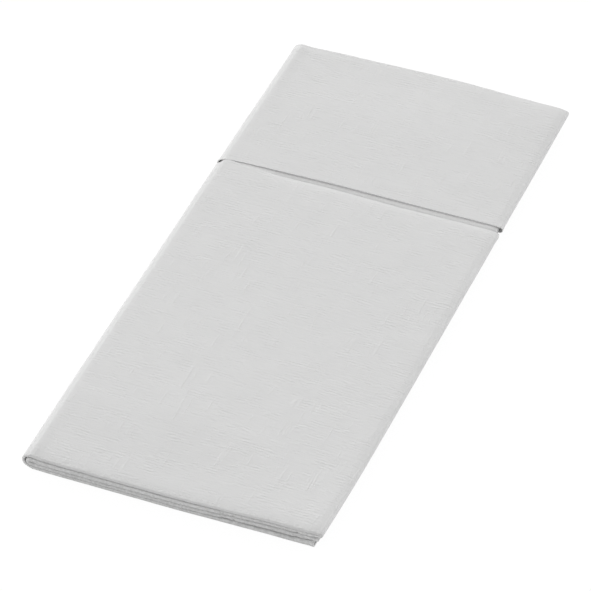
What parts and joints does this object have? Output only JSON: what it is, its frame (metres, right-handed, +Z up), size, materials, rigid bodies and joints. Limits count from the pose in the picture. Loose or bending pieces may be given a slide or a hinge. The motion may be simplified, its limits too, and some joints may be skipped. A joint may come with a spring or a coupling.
{
  "type": "cutlery pouch napkin",
  "caption": "Soft white paper napkin folded flat into a long narrow pouch, with a crosswise slit between a long lower flap and a short upper flap where cutlery slides in.",
  "frame": {"origin": "centre of the folded napkin's underside, on the surface that it lies on", "axes": "+X across the napkin, from the closed folds on the left to the fold and the cut edges on the right; +Y along it, from the pouch's closed end towards its mouth; +Z up, out of the face with the mouth"},
  "size_m": [0.0846, 0.2012, 0.005],
  "materials": {
    "paper": "matt white airlaid paper, embossed all over with a fine linen weave"
  },
  "bodies": {
    "root": {"napkin": "paper"}
  },
  "joints": []
}
